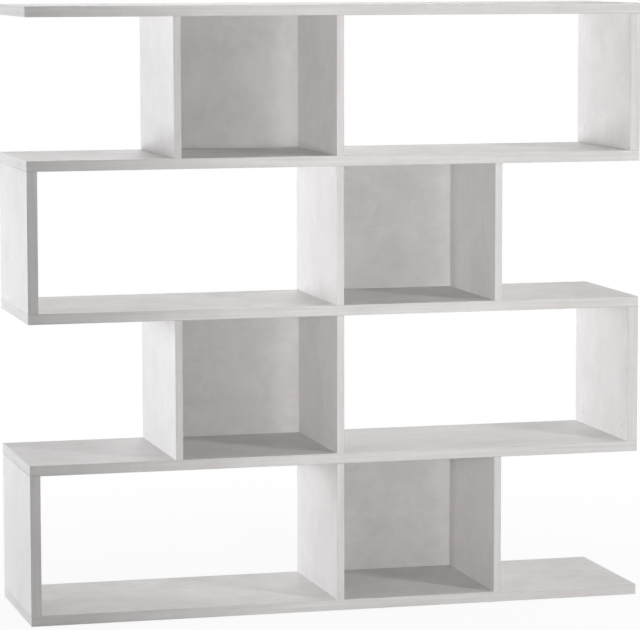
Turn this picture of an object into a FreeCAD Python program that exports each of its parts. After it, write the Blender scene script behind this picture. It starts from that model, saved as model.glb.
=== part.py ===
import FreeCAD, Part
import math
import os
import re

import Sketcher

# A modular bookcase of five long shelves with staggered uprights between them. It is board
# furniture that comes apart: cam locks in the uprights pull on bolts in the shelves, dowels keep
# the boards in line, and bands cover the boards' edges.
# The origin is on the floor under the middle of the case. X runs to the right, Y to the rear, Z up.

# Driving dimensions, in millimetres.
SIZES = {
    # the case and its boards
    "unit_width": "1500",
    "unit_depth": "380",
    "tier_height": "330",  # clear, between two shelves
    "end_bay_width": "348",  # from the end of a shelf to the face of the offset divider
    "shelf_thickness": "25",
    "side_thickness": "25",
    "divider_thickness": "18",
    "back_thickness": "18",
    # the edge bands
    "band_thickness": "2",
    "band_arris": "1.5",  # radius along the outer edges
    # the bores
    "clearance": "0.1",  # all round a fastener in its bore
    "end_relief": "0.5",  # free depth past the end of a fastener
    "shelf_web": "3",  # left between the bores in the two faces of a shelf
    "divider_web": "7",  # left behind a dowel in the face of a divider
    "overrun": "1",  # of a cut past the solid
    # the cam locks
    "cam_diameter": "15",
    "cam_setback": "34",  # from the end of the upright to the cam's axis
    "cam_inset": "50",  # from the front or rear of the case to the cam's axis
    "cam_recess": "0.5",  # of the cam's head below the face of the upright
    "cam_floor": "1.05",  # under the cam's hollow
    "cam_hollow_diameter": "10",
    "driver_slot_length": "8",
    "driver_slot_width": "2.4",
    "driver_slot_depth": "2.5",
    # the connecting bolts
    "bolt_thread_diameter": "5",
    "bolt_shank_diameter": "7",
    "bolt_neck_diameter": "4",
    "bolt_head_diameter": "6.5",
    "bolt_head_length": "3",
    # the cover caps
    "cap_lap": "1",  # of the cap over the rim of the cam's bore
    "cap_thickness": "1",
    "cap_chamfer": "0.5",
    "cap_grip": "1.8",  # of its stem in the cam's driver slot
    # the dowels
    "dowel_diameter": "8",
    "dowel_length": "30",
    "dowel_chamfer": "1",
    "back_dowel_inset": "80",  # from the end of the back panel
    # the glides and their nails
    "glide_diameter": "22",
    "glide_height": "4",
    "glide_chamfer": "1",
    "glide_inset": "45",  # from the ends, the front and the rear of the case
    "nail_diameter": "2",
    "nail_length": "12",  # in the shelf
    "nail_head_diameter": "5",
    "nail_head_thickness": "1",
    "nail_sink": "2",  # from the floor to the top of the nail's head
}

# Sizes worked out from the driving ones.
FITS = {
    "tier_pitch": "tier_height + shelf_thickness",
    "box_width": "divider_centre_at - divider_left_at - divider_thickness",
    "edge_limit_share": "0.8",  # the most of its wall that an eased edge may take
    "arris_radius": "min(band_arris; edge_limit_share * band_thickness)",
    "cap_edge": "min(cap_chamfer; edge_limit_share * cap_thickness)",
    "glide_edge": "min(glide_chamfer; edge_limit_share * glide_height)",
    "seat_depth": "(shelf_thickness - shelf_web) / 2",
    "cam_axis_depth": "divider_thickness / 2",
    "cam_hollow_height": "bolt_head_diameter + 4 * clearance",
    "cam_bolt_height": "cam_floor + cam_hollow_height / 2",
    "cam_pocket_depth": "cam_axis_depth + cam_bolt_height",
    "cam_height": "cam_pocket_depth - cam_recess",
    "cam_slot_sweep": "180 deg + 2 * asin((bolt_neck_diameter + 2 * clearance) / cam_hollow_diameter)",
    "bolt_thread_length": "seat_depth - end_relief",
    "bolt_shank_end": "bolt_thread_length + cam_setback - cam_diameter / 2",
    "bolt_head_reach": "sqrt(cam_hollow_diameter ^ 2 - bolt_head_diameter ^ 2) / 2 - clearance",
    "bolt_head_start": "bolt_thread_length + cam_setback - bolt_head_reach",
    "dowel_end_depth": "dowel_length - seat_depth + end_relief",
    "cam_front_at": "cam_inset",
    "cam_rear_at": "unit_depth - cam_inset",
    "dowel_middle_at": "unit_depth / 2",
    "back_dowel_low_at": "back_dowel_inset",
    "back_dowel_high_at": "tier_height - back_dowel_inset",
    "back_dowel_seat": "divider_thickness - divider_web",
    "back_dowel_depth": "dowel_length - back_dowel_seat + end_relief",
}

# Each tier from the floor up, with the side of the centre divider that its box is on.
TIERS = {"bottom": "right", "lower": "left", "upper": "right", "top": "left"}
SHELVES = ("bottom", "lower", "middle", "upper", "top")
UPRIGHTS = {
    "left": ("divider_left", "divider_centre", "side_right"),
    "right": ("side_left", "divider_centre", "divider_right"),
}
BOX_WALLS = {
    "left": ("divider_left", "divider_centre"),
    "right": ("divider_centre", "divider_right"),
}

# Where each kind of upright has its left face, from the left end of the case.
LEFT_FACES = {
    "side_left": "0",
    "divider_left": "end_bay_width",
    "divider_centre": "(unit_width - divider_thickness) / 2",
    "divider_right": "unit_width - end_bay_width - divider_thickness",
    "side_right": "unit_width - side_thickness",
}
# The cams are let into the right face, but a right side panel has them inside the case.
CAM_FACES = {kind: "left" if kind == "side_right" else "right" for kind in LEFT_FACES}
THICKNESSES = {kind: kind.split("_")[0] + "_thickness" for kind in LEFT_FACES}
for kind, left_face in LEFT_FACES.items():
    from_left = {"left": "cam_axis_depth", "right": THICKNESSES[kind] + " - cam_axis_depth"}
    FITS[kind + "_at"] = left_face
    FITS[kind + "_bolt"] = from_left[CAM_FACES[kind]]
    FITS[kind + "_dowel"] = THICKNESSES[kind] + " / 2"

# The glides stand in two rows, with their columns evenly spaced.
GLIDE_ROWS = ("glide_front_at", "glide_rear_at")
FITS.update(zip(GLIDE_ROWS, ("glide_inset", "unit_depth - glide_inset")))
GLIDE_COLUMNS = ("glide_first_at", "glide_second_at", "glide_third_at", "glide_fourth_at")
for index, column in enumerate(GLIDE_COLUMNS):
    FITS[column] = f"glide_inset + (unit_width - 2 * glide_inset) * {index} / {len(GLIDE_COLUMNS) - 1}"
GLIDE_PLACES = [(column, row) for column in GLIDE_COLUMNS for row in GLIDE_ROWS]

CAM_DEPTHS = ("cam_front_at", "cam_rear_at")
BACK_DOWEL_HEIGHTS = ("back_dowel_low_at", "back_dowel_high_at")
X = FreeCAD.Vector(1, 0, 0)
Y = FreeCAD.Vector(0, 1, 0)
Z = FreeCAD.Vector(0, 0, 1)

doc = FreeCAD.newDocument("bookcase")
CELLS = {name: "sizes." + name for name in SIZES}
CELLS.update({name: "fits." + name for name in FITS})


def cells(expression):
    """The expression with the name of each size turned into its cell."""
    return re.sub("[a-z_]+", lambda word: CELLS.get(word[0], word[0]), expression)


def sheet(name, values):
    """A sheet with one named size to a row."""
    table = doc.addObject("Spreadsheet::Sheet", name)
    for row, (alias, value) in enumerate(values.items(), 1):
        table.set(f"A{row}", alias)
        table.set(f"B{row}", value)
        table.setAlias(f"B{row}", alias)
    return table


sizes = sheet("sizes", SIZES)
fits = sheet("fits", {name: "=" + cells(formula) for name, formula in FITS.items()})
doc.recompute()


def size(name):
    """A size as a number, read from its cell."""
    return float((sizes if name in SIZES else fits).get(name))


def bind(thing, path, expression):
    """Ties a property to the sheets."""
    thing.setExpression(path, cells(expression))


# Sketches and the features made from them.


def sketch_on(body, role, height="0"):
    """A sketch parallel to one of the body's own planes, at a height above it."""
    plane = next(feature for feature in body.Origin.OriginFeatures if feature.Role == role)
    sketch = body.newObject("Sketcher::SketchObject", "outline")
    sketch.AttachmentSupport = [(plane, "")]
    sketch.MapMode = "FlatFace"
    bind(sketch, "AttachmentOffset.Base.z", height)
    return sketch


def dimension(sketch, kind, points, expression):
    """A dimension in a sketch, tied to the sheets."""
    index = sketch.addConstraint(Sketcher.Constraint(kind, *points, 1.0))
    bind(sketch, f"Constraints[{index}]", expression)


def fix_point(sketch, line, end, across, up):
    """Holds one point of a line or circle at its distances from the sketch's origin."""
    dimension(sketch, "DistanceX", (-1, 1, line, end), across)
    dimension(sketch, "DistanceY", (-1, 1, line, end), up)


def outline(sketch, corners):
    """A closed outline of straight lines, drawn on a unit circle and then held at its corners."""
    turns = [2 * math.pi * index / len(corners) for index in range(len(corners))]
    points = [FreeCAD.Vector(math.cos(turn), math.sin(turn), 0) for turn in turns]
    lines = [
        sketch.addGeometry(Part.LineSegment(start, end), False)
        for start, end in zip(points, points[1:] + points[:1])
    ]
    for line, following in zip(lines, lines[1:] + lines[:1]):
        sketch.addConstraint(Sketcher.Constraint("Coincident", line, 2, following, 1))
    for line, (across, up) in zip(lines, corners):
        fix_point(sketch, line, 1, across, up)


def rectangle(sketch, left, low, right, high):
    """A rectangle between two opposite corners."""
    outline(sketch, [(left, low), (right, low), (right, high), (left, high)])


def circles(sketch, places, diameter):
    """Circles of one diameter, each held at its place."""
    for across, up in places:
        circle = sketch.addGeometry(Part.Circle(X + Y, Z, 1), False)
        fix_point(sketch, circle, 3, across, up)
        dimension(sketch, "Diameter", (circle,), diameter)


def pad(body, sketch, length, backward=False):
    """Raises a sketch along its normal, or the other way where backward is true."""
    feature = body.newObject("PartDesign::Pad", "pad")
    feature.Profile = sketch
    feature.Reversed = backward
    bind(feature, "Length", length)
    return feature


def pocket(body, sketch, depth, forward=False):
    """Cuts a sketch in against its normal, or along it where forward is true."""
    feature = body.newObject("PartDesign::Pocket", "pocket")
    feature.Profile = sketch
    feature.Reversed = forward
    bind(feature, "Length", depth)
    return feature


def turned(body, kind, sketch, sweep):
    """Turns a sketch about its upright axis, evenly to both sides of its plane."""
    feature = body.newObject("PartDesign::" + kind, kind.lower())
    feature.Profile = sketch
    feature.ReferenceAxis = (sketch, ["V_Axis"])
    feature.Midplane = True
    bind(feature, "Angle", sweep)
    return feature


def eased(body, kind, prop, radius, wanted):
    """Rounds or chamfers the body's edges that are wanted."""
    doc.recompute()
    base = body.Tip
    names = [f"Edge{index}" for index, edge in enumerate(base.Shape.Edges, 1) if wanted(edge)]
    feature = body.newObject("PartDesign::" + kind, kind.lower())
    feature.Base = (base, names)
    bind(feature, prop, radius)


def bored(diameter):
    """The bore that takes a fastener of a diameter with the clearance all round."""
    return f"{diameter} + 2 * clearance"


def held(diameter):
    """The fastener that fits a bore of a diameter with the clearance all round."""
    return f"{diameter} - 2 * clearance"


# Boards: each has its own origin at its lowest, foremost left corner, bands included.


def board(name, plan, height, across, back, up):
    """A board padded up from its plan, at distances from the left end, the front and the floor."""
    body = doc.addObject("PartDesign::Body", name)
    bind(body, "Placement.Base.x", f"{across} - unit_width / 2")
    bind(body, "Placement.Base.y", f"{back} - unit_depth / 2")
    bind(body, "Placement.Base.z", up)
    sketch = sketch_on(body, "XY_Plane")
    rectangle(sketch, *plan)
    pad(body, sketch, height)
    return body


def shelf_height(level):
    """From the floor to the underside of a shelf."""
    return f"glide_height + {level} * tier_pitch"


def tier_floor(level):
    """From the floor to the upper face of the shelf under a tier."""
    return shelf_height(level) + " + shelf_thickness"


def shelf(level, name):
    """A long shelf, bored in each face for the bolts and dowels of the uprights that meet it there."""
    band = "band_thickness"
    plan = (band, band, "unit_width - band_thickness", "unit_depth - band_thickness")
    body = board("shelf_" + name, plan, "shelf_thickness", "0", "0", shelf_height(level))
    boxes = list(TIERS.values())
    faces = []
    if level > 0:
        faces.append((boxes[level - 1], "0", True))
    if level < len(boxes):
        faces.append((boxes[level], "shelf_thickness", False))
    for box, height, forward in faces:
        sketch = sketch_on(body, "XY_Plane", height)
        for kind in UPRIGHTS[box]:
            bolts = [(f"{kind}_at + {kind}_bolt", depth) for depth in CAM_DEPTHS]
            circles(sketch, bolts, bored("bolt_thread_diameter"))
            circles(sketch, [(f"{kind}_at + {kind}_dowel", "dowel_middle_at")], bored("dowel_diameter"))
        pocket(body, sketch, "seat_depth", forward)
    if level == 0:
        sketch = sketch_on(body, "XY_Plane")
        circles(sketch, GLIDE_PLACES, bored("nail_diameter"))
        pocket(body, sketch, "nail_length + end_relief", True)
    return body


def upright(level, tier, kind):
    """A side panel or divider, with its cams' bores and, beside a box, those of the back's dowels."""
    thickness = THICKNESSES[kind]
    plan = ("0", "band_thickness", thickness, "unit_depth - band_thickness")
    body = board(f"{kind}_{tier}", plan, "tier_height", kind + "_at", "0", tier_floor(level))
    sides = {"left": ("0", True), "right": (thickness, False)}
    height, forward = sides[CAM_FACES[kind]]
    sketch = sketch_on(body, "YZ_Plane", height)
    ends = ("cam_setback", "tier_height - cam_setback")
    circles(sketch, [(depth, end) for depth in CAM_DEPTHS for end in ends], "cam_diameter")
    pocket(body, sketch, "cam_pocket_depth", forward)
    for height, forward in (("0", True), ("tier_height", False)):
        sketch = sketch_on(body, "XY_Plane", height)
        circles(sketch, [(kind + "_bolt", depth) for depth in CAM_DEPTHS], bored("bolt_shank_diameter"))
        pocket(body, sketch, "cam_setback", forward)
        sketch = sketch_on(body, "XY_Plane", height)
        circles(sketch, [(kind + "_dowel", "dowel_middle_at")], bored("dowel_diameter"))
        pocket(body, sketch, "dowel_end_depth", forward)
    walls = BOX_WALLS[TIERS[tier]]
    if kind in walls:
        height, forward = sides["right" if kind == walls[0] else "left"]
        sketch = sketch_on(body, "YZ_Plane", height)
        places = [("unit_depth - back_thickness / 2", end) for end in BACK_DOWEL_HEIGHTS]
        circles(sketch, places, bored("dowel_diameter"))
        pocket(body, sketch, "back_dowel_seat", forward)
    return body


def back_panel(level, tier):
    """The back of a box, flush with the rear of its two dividers and bored in both upright edges."""
    across = f"{BOX_WALLS[TIERS[tier]][0]}_at + divider_thickness"
    back = "unit_depth - back_thickness"
    plan = ("0", "0", "box_width", "back_thickness")
    body = board("back_" + tier, plan, "tier_height", across, back, tier_floor(level))
    for height, forward in (("0", True), ("box_width", False)):
        sketch = sketch_on(body, "YZ_Plane", height)
        places = [("back_thickness / 2", end) for end in BACK_DOWEL_HEIGHTS]
        circles(sketch, places, bored("dowel_diameter"))
        pocket(body, sketch, "back_dowel_depth", forward)
    return body


# Edge bands: strips whose outer edges are rounded along the given directions.


def band(name, plan, height, at, outward, rounded):
    """One strip of edge band, with the edges of its outer face rounded where they run as given."""
    body = board(name, plan, height, *at)
    doc.recompute()
    outer = next(face for face in body.Tip.Shape.Faces if face.normalAt(0, 0).dot(outward) > 0)

    def wanted(edge):
        along = edge.tangentAt(edge.FirstParameter)
        runs_as_given = any(abs(along.dot(way)) > along.cross(way).Length for way in rounded)
        return runs_as_given and any(edge.isSame(other) for other in outer.Edges)

    eased(body, "Fillet", "Radius", "arris_radius", wanted)
    return body


def edging(owner, strips):
    """All the edge bands of one board, as one node of separate strips."""
    node = doc.addObject("Part::Compound", owner + "_edging")
    node.Links = strips
    return node


def shelf_edging(level, name):
    """The bands round a shelf: front and rear run its full length, with the ends between them."""
    up = shelf_height(level)
    ends = ("0", "0", "band_thickness", "unit_depth - 2 * band_thickness")
    runs = ("0", "0", "unit_width", "band_thickness")
    rear = "unit_depth - band_thickness"
    right = "unit_width - band_thickness"
    strips = [
        band("front_band", runs, "shelf_thickness", ("0", "0", up), -Y, (X, Z)),
        band("rear_band", runs, "shelf_thickness", ("0", rear, up), Y, (X, Z)),
        band("left_band", ends, "shelf_thickness", ("0", "band_thickness", up), -X, (Y,)),
        band("right_band", ends, "shelf_thickness", (right, "band_thickness", up), X, (Y,)),
    ]
    return edging("shelf_" + name, strips)


def upright_edging(level, tier, kind):
    """The bands on the front and rear edges of a side panel or divider."""
    plan = ("0", "0", THICKNESSES[kind], "band_thickness")
    up = tier_floor(level)
    left = kind + "_at"
    strips = [
        band("front_band", plan, "tier_height", (left, "0", up), -Y, (Z,)),
        band("rear_band", plan, "tier_height", (left, "unit_depth - band_thickness", up), Y, (Z,)),
    ]
    return edging(f"{kind}_{tier}", strips)


# Fasteners: one of each is modelled about its own axis, and copies of it are set in the boards.


def fastener(name, diameter, length):
    """A round body of a diameter and length, standing on its own origin."""
    body = doc.addObject("PartDesign::Body", name)
    sketch = sketch_on(body, "XY_Plane")
    circles(sketch, [("0", "0")], diameter)
    pad(body, sketch, length)
    return body


def rim_at(height):
    """Picks the round edge nearest to a height, within the clearance."""

    def wanted(edge):
        box = edge.BoundBox
        return max(abs(box.ZMin - height), abs(box.ZMax - height)) < size("clearance")

    return wanted


def cam():
    """The cam lock: a drum that stands on the floor of its bore, with the bolt coming from the front.

    The bolt's head enters at the rear. Half a turn carries its neck along the slot in the wall, while
    the head stays caught in the hollow."""
    body = fastener("cam", held("cam_diameter"), "cam_height")
    hollow = sketch_on(body, "XZ_Plane")
    rectangle(hollow, "0", "cam_floor", "cam_hollow_diameter / 2", "cam_floor + cam_hollow_height")
    turned(body, "Groove", hollow, "360")
    slot = sketch_on(body, "XZ_Plane")
    half = f"({bored('bolt_neck_diameter')}) / 2"
    outside = "cam_diameter / 2 + overrun"
    rectangle(slot, "0", f"cam_bolt_height - {half}", outside, f"cam_bolt_height + {half}")
    turned(body, "Groove", slot, "cam_slot_sweep")
    entry = sketch_on(body, "XZ_Plane")
    circles(entry, [("0", "cam_bolt_height")], bored("bolt_head_diameter"))
    pocket(body, entry, outside)
    arm_size = ("driver_slot_length", "driver_slot_width")
    for width, depth in (arm_size, reversed(arm_size)):
        arm = sketch_on(body, "XY_Plane", "cam_height")
        rectangle(arm, f"-{width} / 2", f"-{depth} / 2", f"{width} / 2", f"{depth} / 2")
        pocket(body, arm, "driver_slot_depth")
    return body


def bolt():
    """The connecting bolt, upwards from the tip of its thread: thread, shank, neck and head."""
    body = doc.addObject("PartDesign::Body", "bolt")
    profile = sketch_on(body, "XZ_Plane")
    head_end = "bolt_head_start + bolt_head_length"
    steps = [
        ("bolt_thread_diameter / 2", "0", "bolt_thread_length"),
        ("bolt_shank_diameter / 2", "bolt_thread_length", "bolt_shank_end"),
        ("bolt_neck_diameter / 2", "bolt_shank_end", "bolt_head_start"),
        ("bolt_head_diameter / 2", "bolt_head_start", head_end),
    ]
    corners = [(radius, height) for radius, low, high in steps for height in (low, high)]
    outline(profile, [("0", "0")] + corners + [("0", head_end)])
    turned(body, "Revolution", profile, "360")
    return body


def cap():
    """The cover cap: a disc on the face of the upright, with a stem in the cam's driver slot."""
    body = fastener("cap", "cam_diameter + 2 * cap_lap", "cap_thickness")
    eased(body, "Chamfer", "Size", "cap_edge", rim_at(size("cap_thickness")))
    stem = sketch_on(body, "XY_Plane")
    circles(stem, [("0", "0")], held("driver_slot_width"))
    pad(body, stem, "cam_recess + cap_grip", True)
    return body


def dowel():
    """A beech dowel with both ends chamfered."""
    body = fastener("dowel", "dowel_diameter", "dowel_length")
    ends = [rim_at(0), rim_at(size("dowel_length"))]
    eased(body, "Chamfer", "Size", "dowel_chamfer", lambda edge: any(end(edge) for end in ends))
    return body


def glide():
    """A glide on the floor, with its nail's hole and the sink that hides the nail's head."""
    body = fastener("glide", "glide_diameter", "glide_height")
    eased(body, "Chamfer", "Size", "glide_edge", rim_at(0))
    for diameter, depth in (("nail_diameter", "glide_height"), ("nail_head_diameter", "nail_sink")):
        sketch = sketch_on(body, "XY_Plane")
        circles(sketch, [("0", "0")], bored(diameter))
        pocket(body, sketch, depth, True)
    return body


def nail():
    """A glide's nail, upwards from the underside of its head."""
    body = fastener("nail", "nail_head_diameter", "nail_head_thickness")
    shank = sketch_on(body, "XY_Plane")
    circles(shank, [("0", "0")], "nail_diameter")
    pad(body, shank, "nail_head_thickness + glide_height - nail_sink + nail_length")
    return body


def facing(normal, along):
    """The turn that takes a fastener's own Z to the normal and its own Y to the other direction."""
    return FreeCAD.Rotation(along.cross(normal), along, normal, "ZYX")


def set_in(name, master, places):
    """A node of separate identical fasteners, one at each of its places."""
    doc.recompute()
    copies = []
    for spot, turn in places:
        copy = master.Shape.copy()
        copy.Placement = FreeCAD.Placement(spot, turn)
        copies.append(copy)
    node = doc.addObject("Part::Feature", name)
    node.Shape = Part.Compound(copies)
    return node


def joints(body):
    """Each end of an upright: its corner there and the direction into the upright."""
    corner = body.Placement.Base
    return [(corner, Z), (corner + Z * size("tier_height"), -Z)]


def cam_places(uprights, height):
    """Where the uprights' cams lie, at a height above the floor of their bores."""
    places = []
    for body, kind in uprights:
        on_left = CAM_FACES[kind] == "left"
        normal = -X if on_left else X
        face = 0 if on_left else size(THICKNESSES[kind])
        across = X * face + normal * (height - size("cam_pocket_depth"))
        for corner, inward in joints(body):
            for depth in CAM_DEPTHS:
                spot = corner + across + Y * size(depth) + inward * size("cam_setback")
                places.append((spot, facing(normal, inward)))
    return places


def end_places(uprights, across, depths, reach):
    """Where fasteners start that reach from the shelves into the ends of the uprights."""
    places = []
    for body, kind in uprights:
        for corner, inward in joints(body):
            for depth in depths:
                spot = corner + X * size(kind + across) + Y * size(depth) - inward * size(reach)
                places.append((spot, facing(inward, Y)))
    return places


def back_dowel_places(backs):
    """Where the back panels' dowels end in the dividers."""
    places = []
    for body in backs:
        corner = body.Placement.Base + Y * (size("back_thickness") / 2)
        for across, inward in ((X * 0, X), (X * size("box_width"), -X)):
            for height in BACK_DOWEL_HEIGHTS:
                spot = corner + across + Z * size(height) - inward * size("back_dowel_seat")
                places.append((spot, facing(inward, Y)))
    return places


def glide_spots(height):
    """Where the glides or their nails stand, at a height above the floor."""
    corner = FreeCAD.Vector(-size("unit_width") / 2, -size("unit_depth") / 2, height)
    spots = [corner + X * size(column) + Y * size(row) for column, row in GLIDE_PLACES]
    return [(spot, FreeCAD.Rotation()) for spot in spots]


# The bookcase.

nodes = []
for level, name in enumerate(SHELVES):
    nodes.append(shelf(level, name))
    nodes.append(shelf_edging(level, name))

sides = []
dividers = []
backs = []
for level, (tier, box) in enumerate(TIERS.items()):
    for kind in UPRIGHTS[box]:
        (sides if kind.startswith("side") else dividers).append((upright(level, tier, kind), kind))
        nodes.append(upright_edging(level, tier, kind))
    backs.append(back_panel(level, tier))
uprights = sides + dividers
nodes += [body for body, kind in uprights] + backs

doc.recompute()
cam_body = cam()
cap_body = cap()
dowel_body = dowel()
cap_height = size("cam_pocket_depth")
nodes.append(set_in("cam_locks_sides", cam_body, cam_places(sides, 0)))
nodes.append(set_in("cam_locks_dividers", cam_body, cam_places(dividers, 0)))
nodes.append(set_in("cover_caps_sides", cap_body, cam_places(sides, cap_height)))
nodes.append(set_in("cover_caps_dividers", cap_body, cam_places(dividers, cap_height)))
bolt_spots = end_places(uprights, "_bolt", CAM_DEPTHS, "bolt_thread_length")
nodes.append(set_in("connecting_bolts", bolt(), bolt_spots))
dowel_spots = end_places(uprights, "_dowel", ("dowel_middle_at",), "seat_depth")
nodes.append(set_in("upright_dowels", dowel_body, dowel_spots))
nodes.append(set_in("back_dowels", dowel_body, back_dowel_places(backs)))
nodes.append(set_in("floor_glides", glide(), glide_spots(0)))
nail_height = size("nail_sink") - size("nail_head_thickness")
nodes.append(set_in("glide_nails", nail(), glide_spots(nail_height)))

doc.recompute()
for thing in doc.Objects:
    if {"Invalid", "Error"} & set(thing.State):
        raise RuntimeError(f"{thing.Name} failed: {thing.State}")
    if thing.TypeId in ("PartDesign::Pocket", "PartDesign::Groove"):
        if not thing.Shape.Volume < thing.BaseFeature.Shape.Volume:
            raise RuntimeError(f"{thing.Name} cuts nothing")
for node in nodes:
    if node.Shape.isNull() or not node.Shape.isValid():
        raise RuntimeError(f"{node.Label} has no valid shape")

os.makedirs("parts", exist_ok=True)
for node in nodes:
    node.Shape.exportStep(f"parts/{node.Label}.step")
    print(f"{node.Label}: {len(node.Shape.Solids)} solids, {node.Shape.Volume:.0f} cubic millimetres")
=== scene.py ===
# %% [markdown]
# # A stepped bookcase in concrete-effect board
#
# The bookcase is five long shelves held apart by uprights that step left and right from tier to tier.
# Every board is chipboard faced with a pale, cloudy cement decor, and its cut edges wear a thin band that
# matches it. The solids come from the CAD model, so this lesson is about finish and light: what makes a
# plain board look like cast cement, and how a white studio gives every face its own grey.

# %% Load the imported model
from math import pi, radians, tan

import bpy
import bmesh
from mathutils import Color, Matrix, Vector


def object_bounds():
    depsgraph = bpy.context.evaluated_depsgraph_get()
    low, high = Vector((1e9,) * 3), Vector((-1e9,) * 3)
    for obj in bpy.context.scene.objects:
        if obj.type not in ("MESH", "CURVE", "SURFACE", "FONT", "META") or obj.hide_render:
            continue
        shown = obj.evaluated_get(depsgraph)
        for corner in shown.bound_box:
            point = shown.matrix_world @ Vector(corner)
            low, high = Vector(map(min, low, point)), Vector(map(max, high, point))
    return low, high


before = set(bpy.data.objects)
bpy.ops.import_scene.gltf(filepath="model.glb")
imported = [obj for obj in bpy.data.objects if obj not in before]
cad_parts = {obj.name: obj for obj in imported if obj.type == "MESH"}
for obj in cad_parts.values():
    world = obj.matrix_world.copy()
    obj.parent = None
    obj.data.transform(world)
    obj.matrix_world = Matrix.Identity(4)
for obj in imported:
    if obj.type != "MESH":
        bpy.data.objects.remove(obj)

cad_low, cad_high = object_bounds()
cad_size = cad_high - cad_low
middle = (cad_low + cad_high) / 2
print("nodes:", len(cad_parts), "size in metres:", [round(side, 3) for side in cad_size])

# %% [markdown]
# ## Sorting the boards
#
# A sheet of decor has a direction: the trowel marks run along it. The saw follows that direction, so a
# shelf shows its marks from end to end, an upright shows them from floor to ceiling, and a back panel
# shows them crosswise. The node names already say which board is which, so three lists by name are
# enough to keep the directions apart.

# %% Sort the boards by the way they were cut
def nodes_named(*starts):
    """The boards, without their edge bands, whose names start with one of these words."""
    return sorted(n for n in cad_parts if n.startswith(starts) and not n.endswith("_edging"))


shelves = nodes_named("shelf_")
uprights = nodes_named("side_", "divider_")
back_panels = nodes_named("back_bottom", "back_lower", "back_upper", "back_top")
print("shelves:", len(shelves), "uprights:", len(uprights), "back panels:", len(back_panels))

# %% [markdown]
# ## The camera
#
# The picture was taken with a long lens from the left, a little above the top shelf: the edges stay nearly
# parallel and each shelf shows a sliver of its top. A camera object could be aimed with a Track To
# constraint, but three turns multiplied in order say more: face along the depth, tip down, then swing to
# the right. The last, tiny turn is the lean of the tripod.

# %% Place the camera
IMAGE_WIDTH_MM = 36.0
LENS_MM = 183.7
EYE = Vector((-2.032, -7.620, 1.566))
SWING_RIGHT = radians(14.93)
TIP_DOWN = radians(6.30)
LEAN = radians(-0.09)

view = bpy.data.cameras.new("studio_camera")
view.sensor_width = IMAGE_WIDTH_MM
view.lens = LENS_MM
camera = bpy.data.objects.new("studio_camera", view)
bpy.context.scene.collection.objects.link(camera)
turn = Matrix.Rotation(-SWING_RIGHT, 4, "Z") @ Matrix.Rotation(pi / 2 - TIP_DOWN, 4, "X")
camera.matrix_world = Matrix.Translation(EYE) @ turn @ Matrix.Rotation(LEAN, 4, "Z")
bpy.context.scene.camera = camera
bpy.context.scene.view_settings.view_transform = "Standard"
print("camera is", round((EYE - middle).length, 2), "m from the middle of the bookcase")

# %% [markdown]
# ## Helpers for shader nodes
#
# A shader is a small network of nodes. Adding a node, setting it and linking it takes several lines each
# time, so one helper does all three: it makes a node, sets its options, and fills its sockets with plain
# values or with the outputs of nodes made before. A colour is written as the display shows it and turned
# into linear light here.

# %% Helpers for colours and nodes
def tone(red, green, blue):
    """A display colour, 0 to 255, as the linear colour that shaders use."""
    return (*Color((red / 255, green / 255, blue / 255)).from_srgb_to_scene_linear(), 1.0)


def put(tree, kind, sockets=None, **options):
    """Adds a node, sets its options, and fills its sockets with values or with other nodes' outputs."""
    made = tree.nodes.new("ShaderNode" + kind)
    for option, value in options.items():
        setattr(made, option, value)
    for socket, value in (sockets or {}).items():
        if isinstance(value, bpy.types.NodeSocket):
            tree.links.new(value, made.inputs[socket])
        else:
            made.inputs[socket].default_value = value
    return made


print("white paper at 90% reads", [round(part, 2) for part in tone(243, 243, 243)])

# %% [markdown]
# ## What every finish shares
#
# Whatever a piece is made of, its finish ends in the same three things: a colour, a roughness and a relief.
# They could be linked by hand in each material. It is shorter to write the start and the end of a finish
# once, and to leave to each material only what makes it different: the marks in between.

# %% Helpers for finishes
def new_finish(name):
    """A new material, with its node tree and the main shader in it."""
    made = bpy.data.materials.new(name)
    made.use_nodes = True
    return made, made.node_tree, made.node_tree.nodes["Principled BSDF"]


def two_tones(tree, factor, dark, pale):
    """A colour that goes from dark to pale as a factor goes from 0 to 1."""
    return put(tree, "Mix", {"Factor": factor, "A": dark, "B": pale}, data_type="RGBA").outputs["Result"]


def between(tree, factor, first, last):
    """A number that goes from the first to the last as a factor goes from 0 to 1."""
    return put(tree, "MapRange", {"Value": factor, "To Min": first, "To Max": last}).outputs[0]


def join(tree, shader, colour, roughness, relief, strength, depth):
    """Joins a colour, a roughness and a relief, whose depth is in metres, to the main shader."""
    bump = put(tree, "Bump", {"Strength": strength, "Distance": depth, "Height": relief})
    tree.links.new(colour, shader.inputs["Base Color"])
    tree.links.new(roughness, shader.inputs["Roughness"])
    tree.links.new(bump.outputs["Normal"], shader.inputs["Normal"])


print("a finish is a colour, a roughness and a relief")

# %% [markdown]
# ## The white floor
#
# The picture's background is plain white. More light would whiten a floor too, but it would burn the pale
# boards out with it. So the floor glows for the camera only: most of what the camera sees of it is a steady
# white, and the rest is ordinary matt paper, which keeps a soft trace of the bookcase's shadow and bounces
# light upwards as paper does. Further out the glow takes over, so that the floor has no grey horizon.

# %% Lay the floor
FLOOR_WIDTH = 40.0
NEAR_GLOW_SHARE = 0.90
SHADOW_REACH = 2.5
PAPER = tone(236, 236, 235)
WHITE = (1.0, 1.0, 1.0, 1.0)


def seen_rays(tree):
    """1 for what the camera sees, itself or in a shine, and 0 for light on its way to a surface."""
    path = put(tree, "LightPath").outputs
    direct = {0: path["Is Camera Ray"], 1: path["Is Glossy Ray"]}
    seen = put(tree, "Math", direct, operation="MAXIMUM").outputs[0]
    through = {0: seen, 1: path["Is Transmission Ray"]}
    return put(tree, "Math", through, operation="MAXIMUM").outputs[0]


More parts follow.
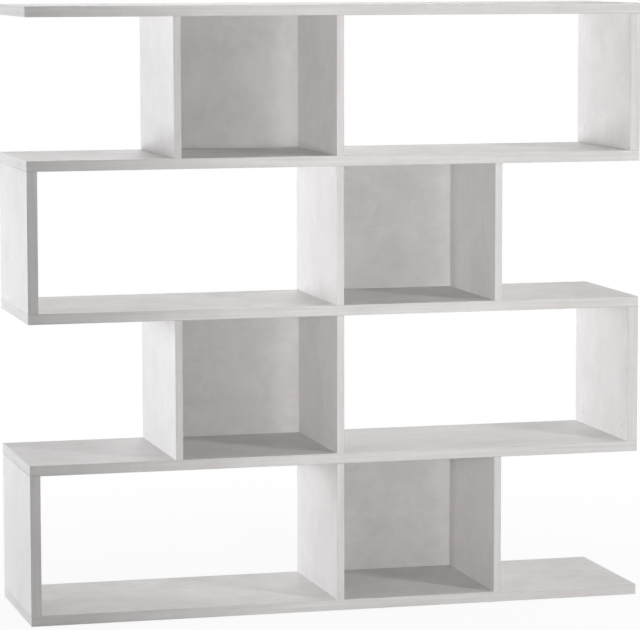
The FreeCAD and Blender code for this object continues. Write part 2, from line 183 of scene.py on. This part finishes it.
def paper_floor():
    """White paper that glows for the camera and keeps a share of its shadows."""
    made = bpy.data.materials.new("paper_floor")
    made.use_nodes = True
    tree = made.node_tree
    tree.nodes.clear()
    here = put(tree, "TexCoord").outputs["Object"]
    fibres = put(tree, "TexNoise", {"Vector": here, "Scale": 900.0, "Detail": 3.0})
    dents = put(tree, "Bump", {"Strength": 0.05, "Distance": 0.0005, "Height": fibres.outputs["Fac"]})
    matt = put(tree, "BsdfDiffuse", {"Color": PAPER, "Roughness": 0.5, "Normal": dents.outputs["Normal"]})
    glow = put(tree, "Emission", {"Color": WHITE, "Strength": 1.0})
    away = put(tree, "VectorMath", {0: here}, operation="LENGTH")
    reach = {"Value": away.outputs["Value"], "From Max": SHADOW_REACH, "To Min": NEAR_GLOW_SHARE}
    glow_share = put(tree, "MapRange", reach, interpolation_type="SMOOTHSTEP")
    share = put(tree, "Math", {0: seen_rays(tree), 1: glow_share.outputs[0]}, operation="MULTIPLY")
    both = put(tree, "MixShader", {0: share.outputs[0], 1: matt.outputs[0], 2: glow.outputs[0]})
    put(tree, "OutputMaterial", {"Surface": both.outputs[0]})
    return made


def flat_square(name, place, material):
    """A flat square, a metre wide until a matrix stretches it and puts it in its place."""
    shape = bmesh.new()
    bmesh.ops.create_grid(shape, x_segments=1, y_segments=1, size=0.5, matrix=place)
    mesh = bpy.data.meshes.new(name)
    shape.to_mesh(mesh)
    shape.free()
    mesh.materials.append(material)
    square = bpy.data.objects.new(name, mesh)
    bpy.context.scene.collection.objects.link(square)
    return square


floor = flat_square("floor", Matrix.Diagonal((FLOOR_WIDTH, FLOOR_WIDTH, 1.0, 1.0)), paper_floor())
print("floor is", FLOOR_WIDTH, "m wide, at the height of the glides' soles:", round(cad_low.z, 4))

# %% [markdown]
# ## The room's own light
#
# Behind everything is the world. For the camera it is white, as the floor is. For the boards it is the dim,
# even light of a studio's far walls, which fills the shadows so that none of them turns black.

# %% Set the world
ROOM_LEVEL = 0.09
ROOM_TINT = (1.0, 0.985, 0.97, 1.0)

world = bpy.data.worlds.new("studio")
world.use_nodes = True
bpy.context.scene.world = world
tree = world.node_tree
tree.nodes.clear()
room = put(tree, "Background", {"Color": ROOM_TINT, "Strength": ROOM_LEVEL})
backdrop = put(tree, "Background", {"Color": WHITE, "Strength": 1.0})
both = put(tree, "MixShader", {0: seen_rays(tree), 1: room.outputs[0], 2: backdrop.outputs[0]})
put(tree, "OutputWorld", {"Surface": both.outputs[0]})
print("room light:", ROOM_LEVEL)

# %% [markdown]
# ## The lamps
#
# Each lamp is a softbox, and its level says how bright a white card would look at the bookcase if it faced
# that lamp alone: at level 1 the card just reaches white. An area lamp's power spreads over a half sphere,
# or over a narrower beam where a grid is fitted, so a level turns into watts through the distance squared
# and the beam. Bearings go round from the front, with the right as positive.
#
# The two on the left make the pale left faces. The one behind shines through the open bays onto the shelf
# tops; those overhead and on the right fill the faces that this view hides. The key at the front right
# throws the slanting shadows onto the floors of the backed boxes. The two at the front stand hardly higher
# than the boxes, so they reach into them and barely touch their floors.

# %% Hang the softboxes
def softbox(name, tint, level, bearing, rise, distance, wide, tall, aim=middle, beam=180):
    """An area lamp that looks at a point from a bearing and a rise above level, in degrees."""
    swing = Matrix.Rotation(radians(bearing), 3, "Z")
    lift = Matrix.Rotation(radians(-rise), 3, "X")
    lamp = bpy.data.lights.new(name, "AREA")
    lamp.shape = "RECTANGLE"
    lamp.size = wide
    lamp.size_y = tall
    lamp.spread = radians(beam)
    half_beam = lamp.spread / 2
    lamp.energy = level * (pi * distance) ** 2 * (1 - half_beam / tan(half_beam))
    lamp.color = tint
    stand = bpy.data.objects.new(name, lamp)
    stand.location = aim + swing @ lift @ Vector((0, -distance, 0))
    stand.rotation_euler = (aim - stand.location).to_track_quat("-Z", "Y").to_euler()
    stand.visible_camera = False
    bpy.context.scene.collection.objects.link(stand)
    print(f"{name}: {lamp.energy:.0f} W at", [round(part, 2) for part in stand.location])


COOL = (0.945, 0.962, 1.0)
PLAIN = (1.0, 0.992, 0.99)
left_part = Vector((-0.30, 0.0, 0.75))
right_part = Vector((0.40, 0.0, 0.95))
softbox("rear_left_softbox", COOL, level=0.62, bearing=-128, rise=0, distance=4.0,
        wide=1.5, tall=0.8, aim=left_part, beam=90)
softbox("left_softbox", COOL, level=0.17, bearing=-100, rise=4, distance=6.0, wide=1.5, tall=1.2)
softbox("rear_softbox", PLAIN, level=0.37, bearing=180, rise=28, distance=6.0, wide=5.0, tall=2.5)
softbox("top_softbox", PLAIN, level=0.15, bearing=0, rise=85, distance=5.0, wide=3.0, tall=1.5)
softbox("right_softbox", PLAIN, level=0.27, bearing=105, rise=8, distance=6.0, wide=2.0, tall=1.5)
softbox("key_softbox", PLAIN, level=0.30, bearing=38, rise=27, distance=5.0,
        wide=0.45, tall=1.8, aim=right_part)
softbox("front_softbox", PLAIN, level=0.35, bearing=-5, rise=2, distance=7.0,
        wide=1.6, tall=0.6, aim=right_part, beam=60)
softbox("front_left_softbox", PLAIN, level=0.42, bearing=-48, rise=1, distance=7.0,
        wide=1.2, tall=0.6, aim=right_part, beam=44)

# %% [markdown]
# ## Two flags
#
# Along every shelf the front edge grows darker towards the left end. A weaker lamp would darken the whole
# front, so a photographer stands a flag, a panel of black felt, between the lamp and the end that is to
# fall off. The lamps are wide, so the shade has no edge: it fades in over about a metre. The flags are
# hidden from the camera and from every shine.

# %% Stand the flags
FELT_DARK = tone(14, 14, 15)
FELT_PALE = tone(30, 30, 31)


def black_felt():
    """Matt black cloth that swallows the light."""
    made, tree, shader = new_finish("black_felt")
    here = put(tree, "TexCoord").outputs["Object"]
    fibres = put(tree, "TexNoise", {"Vector": here, "Scale": 700.0, "Detail": 4.0}).outputs["Fac"]
    colour = two_tones(tree, fibres, FELT_DARK, FELT_PALE)
    join(tree, shader, colour, between(tree, fibres, 0.85, 1.0), fibres, strength=0.5, depth=0.0005)
    return made


def flag(name, material, left, right, ahead, tall):
    """A panel that stands on the floor ahead of the bookcase, between two places across it."""
    wide = right - left
    upright = Matrix.Rotation(pi / 2, 4, "X") @ Matrix.Diagonal((wide, tall, 1.0, 1.0))
    place = Matrix.Translation(((left + right) / 2, -ahead, tall / 2)) @ upright
    panel = flat_square(name, place, material)
    panel.visible_camera = False
    panel.visible_glossy = False
    print(f"{name}: {wide:.2f} m wide, {ahead:.2f} m ahead of the bookcase's middle")


felt = black_felt()
flag("front_flag", felt, left=-0.95, right=-0.45, ahead=2.80, tall=1.40)
flag("front_left_flag", felt, left=-2.58, right=-2.115, ahead=1.76, tall=1.40)

# %% [markdown]
# ## Layers of noise
#
# Cement, moulded plastic, cast metal and wood all owe their look to marks of several sizes, one over
# another. A single texture can't hold both a cloud as wide as a hand and a grain of sand, so each size is a
# layer of noise of its own. The layers are weighed and added up, and the sum picks one of three tones.
# Marks that run one way are the same noise, drawn out along an axis.

# %% Helpers for layers of noise
DARK_AT = 0.2
BODY_AT = 0.5
PALE_AT = 0.8


def layer(tree, place, scale, detail, roughness=0.55, distortion=0.0):
    """One noise layer of a finish, 0 to 1."""
    sockets = {
        "Vector": place,
        "Scale": scale,
        "Detail": detail,
        "Roughness": roughness,
        "Distortion": distortion,
    }
    return put(tree, "TexNoise", sockets).outputs["Fac"]


def drawn_out(tree, place, along, share):
    """A place measured at only a share along an axis, so that the marks there grow long."""
    scale = Vector((1.0, 1.0, 1.0)) - (1.0 - share) * Vector(along)
    return put(tree, "Mapping", {"Vector": place, "Scale": scale}).outputs[0]


def blend_of(tree, *weighted):
    """A weighted sum of noise layers, each swinging about zero."""
    total = None
    for layer_output, weight in weighted:
        ends = {"Value": layer_output, "To Min": -weight / 2, "To Max": weight / 2}
        swing = put(tree, "MapRange", ends, clamp=False)
        if total is None:
            total = swing.outputs[0]
        else:
            total = put(tree, "Math", {0: total, 1: swing.outputs[0]}, operation="ADD").outputs[0]
    return total


def three_tones(tree, factor, dark, body, pale):
    """Three tones, dark to pale, over a factor that swings about zero."""
    centred = put(tree, "Math", {0: factor, 1: 0.5}, operation="ADD").outputs[0]
    ramp = put(tree, "ValToRGB", {"Fac": centred})
    ramp.color_ramp.elements[0].position = DARK_AT
    ramp.color_ramp.elements[0].color = dark
    ramp.color_ramp.elements[1].position = PALE_AT
    ramp.color_ramp.elements[1].color = pale
    ramp.color_ramp.elements.new(BODY_AT).color = body
    return ramp.outputs["Color"]


def finish(name, material):
    """Gives a CAD node its finish."""
    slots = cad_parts[name].data.materials
    slots.clear()
    slots.append(material)


print("three tones lie at", DARK_AT, BODY_AT, PALE_AT)

# %% [markdown]
# ## The concrete decor
#
# Melamine board is chipboard under printed paper. The print copies trowelled cement: broad pale clouds,
# smaller smears where the trowel turned, hair-fine lines along the sheet, and a fine grit. A photograph
# could be wrapped round the board, but four layers of noise give the same look, never repeat, and stay
# sharp up close. Each board reads the noise from its own place, because no two boards were cut from the
# same part of a sheet. The back panels get paler tones than the other boards: painted light, which lifts
# the shaded insides of the boxes.

# %% Build the concrete decor
CLOUDS_PER_METRE = 8.0
SMEARS_PER_METRE = 24.0
LINES_PER_METRE = 160.0
GRIT_PER_METRE = 1400.0
LINE_SHARE = 0.025
SHEET_STEP = Vector((1.37, 2.11, 0.83))
SHINE_LEVEL = 0.12


def decor(name, along, cut, tones, weights, gloss):
    """A printed finish whose marks run along an axis, read from the cut-th place of the sheet."""
    made, tree, shader = new_finish(name)
    here = put(tree, "TexCoord").outputs["Object"]
    spot = put(tree, "Mapping", {"Vector": here, "Location": SHEET_STEP * cut}).outputs[0]
    lengthwise = drawn_out(tree, spot, along, LINE_SHARE)
    clouds = layer(tree, spot, CLOUDS_PER_METRE, detail=5.0, roughness=0.6, distortion=0.5)
    smears = layer(tree, spot, SMEARS_PER_METRE, detail=4.0, distortion=1.2)
    lines = layer(tree, lengthwise, LINES_PER_METRE, detail=3.0)
    grit = layer(tree, spot, GRIT_PER_METRE, detail=2.0)
    mark = blend_of(tree, *zip((clouds, smears, lines, grit), weights))
    colour = three_tones(tree, mark, *tones)
    ends = {"Value": mark, "From Min": -0.5, "From Max": 0.5, "To Min": gloss[0], "To Max": gloss[1]}
    sheen = put(tree, "MapRange", ends).outputs[0]
    relief = blend_of(tree, (lines, 1.0), (grit, 0.6))
    join(tree, shader, colour, sheen, relief, strength=0.25, depth=0.0001)
    shader.inputs["Specular IOR Level"].default_value = SHINE_LEVEL
    return made


print("marks per metre:", CLOUDS_PER_METRE, SMEARS_PER_METRE, LINES_PER_METRE, GRIT_PER_METRE)

# %% [markdown]
# ## The faces of the boards
#
# Shelves, uprights and back panels differ in the way the marks run and in how cloudy they look. The weights
# are those of the clouds, the smears, the lines and the grit, in that order. A gloss is the roughness of the
# darkest marks and of the palest: the pale cement was trowelled harder, so it is the smoother one.

# %% Finish the faces
CEMENT_TONES = (tone(211, 209, 207), tone(224, 222, 221), tone(235, 234, 233))
# The back panels' paler tones are painted light, to lift the shaded insides of the boxes.
BACK_TONES_PAINTED_LIGHT = (tone(220, 218, 216), tone(232, 230, 229), tone(241, 240, 239))
SHELF_WEIGHTS = (0.62, 0.36, 0.1, 0.1)
UPRIGHT_WEIGHTS = (0.5, 0.3, 0.08, 0.1)
BACK_WEIGHTS = (0.8, 0.45, 0.1, 0.1)
FACE_GLOSS = (0.58, 0.44)
ALONG_X = (1, 0, 0)
ALONG_Z = (0, 0, 1)
sheets = (
    (shelves, ALONG_X, CEMENT_TONES, SHELF_WEIGHTS),
    (uprights, ALONG_Z, CEMENT_TONES, UPRIGHT_WEIGHTS),
    (back_panels, ALONG_X, BACK_TONES_PAINTED_LIGHT, BACK_WEIGHTS),
)
cuts = {}
for boards, along, tones, weights in sheets:
    for board in boards:
        cuts[board] = len(cuts)
        name = "concrete_" + board
        finish(board, decor(name, along, cuts[board], tones, weights, FACE_GLOSS))
print("boards finished:", len(cuts))

# %% [markdown]
# ## The edge bands
#
# A band is a 2 mm strip of plastic glued over the raw chipboard and trimmed round at its arrises. It is cut
# from a roll, so its marks run along the edge as long streaks and the broad clouds hardly show. Its tones
# are
# a shade darker than the faces: painted shade, which dims the front edges as less light would. The
# decor function makes it too, with the lines strong and the clouds weak, and with a little more shine.

# %% Finish the edge bands
# The band tones, a shade darker than the faces, are painted shade that dims the front edges.
BAND_TONES_PAINTED_SHADE = (tone(201, 199, 197), tone(213, 211, 210), tone(225, 224, 223))
BAND_WEIGHTS = (0.35, 0.25, 0.8, 0.1)
BAND_GLOSS = (0.5, 0.36)
ALL_ROUND_SHELF = (1, 1, 0)
for board in cuts:
    band = board + "_edging"
    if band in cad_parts:
        along = ALL_ROUND_SHELF if board in shelves else ALONG_Z
        roll = cuts[board] + len(cuts)
        finish(band, decor("band_" + board, along, roll, BAND_TONES_PAINTED_SHADE, BAND_WEIGHTS, BAND_GLOSS))
print("edge bands finished:", sum(n.endswith("_edging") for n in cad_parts))

# %% [markdown]
# ## The small plastics
#
# Cover caps snap over the cam locks, and glides are nailed under the bottom shelf. Both are moulded plastic:
# one plain colour with the fine spark-eroded grain that the mould leaves, and a slightly uneven shine. The
# caps are dyed to match the decor, so they should almost vanish; the glides are a harder grey.

# %% Finish the caps and the glides
FLOW_MARKS_PER_METRE = 60.0
CAP_PALE = tone(227, 225, 224)
CAP_DARK = tone(220, 218, 217)
GLIDE_PALE = tone(150, 149, 147)
GLIDE_DARK = tone(132, 131, 129)


def moulded_plastic(name, pale, dark, grain_per_metre):
    """Matt plastic with the fine grain of its mould."""
    made, tree, shader = new_finish(name)
    here = put(tree, "TexCoord").outputs["Object"]
    flow = layer(tree, here, FLOW_MARKS_PER_METRE, detail=2.0)
    grain = layer(tree, here, grain_per_metre, detail=3.0)
    colour = two_tones(tree, flow, dark, pale)
    join(tree, shader, colour, between(tree, grain, 0.38, 0.55), grain, strength=0.2, depth=0.0001)
    return made


cap_plastic = moulded_plastic("cap_plastic", CAP_PALE, CAP_DARK, grain_per_metre=1800.0)
glide_plastic = moulded_plastic("glide_plastic", GLIDE_PALE, GLIDE_DARK, grain_per_metre=1500.0)
for caps in ("cover_caps_sides", "cover_caps_dividers"):
    finish(caps, cap_plastic)
finish("floor_glides", glide_plastic)
print("plastics:", cap_plastic.name, glide_plastic.name)

# %% [markdown]
# ## The metal inside the joints
#
# A cam lock is die-cast zinc with a dull, slightly pitted skin. The bolt that it pulls on and the nails of
# the glides are turned steel under a bright plating, and the lathe leaves fine rings round them. One helper
# makes both: the noise that colours and roughens the metal is left round for the casting, and squeezed
# along the axis for the turned pieces, so that it closes up into rings.

# %% Finish the cams, the bolts and the nails
ZINC_PALE = tone(186, 187, 189)
ZINC_DARK = tone(158, 159, 162)
PLATE_PALE = tone(214, 213, 208)
PLATE_DARK = tone(188, 187, 182)
ROUND = Vector((1.0, 1.0, 1.0))
RINGS_ROUND_Z = Vector((0.03, 0.03, 1.0))


def bare_metal(name, pale, dark, squeeze, marks_per_metre, gloss):
    """Metal whose marks are squeezed along its axis into rings, or left round."""
    made, tree, shader = new_finish(name)
    shader.inputs["Metallic"].default_value = 1.0
    here = put(tree, "TexCoord").outputs["Object"]
    spot = put(tree, "Mapping", {"Vector": here, "Scale": squeeze}).outputs[0]
    marks = layer(tree, spot, marks_per_metre, detail=3.0)
    colour = two_tones(tree, marks, dark, pale)
    join(tree, shader, colour, between(tree, marks, *gloss), marks, strength=0.3, depth=0.00005)
    return made


cast_zinc = bare_metal("cast_zinc", ZINC_PALE, ZINC_DARK, ROUND, marks_per_metre=1100.0, gloss=(0.55, 0.38))
plated_steel = bare_metal("plated_steel", PLATE_PALE, PLATE_DARK, RINGS_ROUND_Z,
                          marks_per_metre=3200.0, gloss=(0.34, 0.2))
for cams in ("cam_locks_sides", "cam_locks_dividers"):
    finish(cams, cast_zinc)
for turned in ("connecting_bolts", "glide_nails"):
    finish(turned, plated_steel)
print("metals:", cast_zinc.name, plated_steel.name)

# %% [markdown]
# ## The beech dowels
#
# Dowels are cut from beech rods, so the fibres run along them and short dark flecks lie in between. A wave
# texture would give even stripes; noise drawn out along the axis is closer to split fibres. The dowels in
# the uprights stand, and those beside the back panels lie across, so each kind gets its own direction.

# %% Finish the dowels
BEECH_TONES = (tone(182, 140, 98), tone(208, 170, 126), tone(224, 190, 148))
FIBRES_PER_METRE = 900.0
FLECKS_PER_METRE = 2400.0
FIBRE_SHARE = 0.06


def beech(name, along):
    """Pale beech whose fibres run along an axis."""
    made, tree, shader = new_finish(name)
    here = put(tree, "TexCoord").outputs["Object"]
    lengthwise = drawn_out(tree, here, along, FIBRE_SHARE)
    fibres = layer(tree, lengthwise, FIBRES_PER_METRE, detail=4.0)
    flecks = layer(tree, lengthwise, FLECKS_PER_METRE, detail=2.0, roughness=0.7)
    grain = blend_of(tree, (fibres, 1.0), (flecks, 0.7))
    colour = three_tones(tree, grain, *BEECH_TONES)
    join(tree, shader, colour, between(tree, fibres, 0.55, 0.75), grain, strength=0.4, depth=0.0001)
    return made


finish("upright_dowels", beech("beech_standing", ALONG_Z))
finish("back_dowels", beech("beech_lying", ALONG_X))
print("dowels finished, standing and lying")
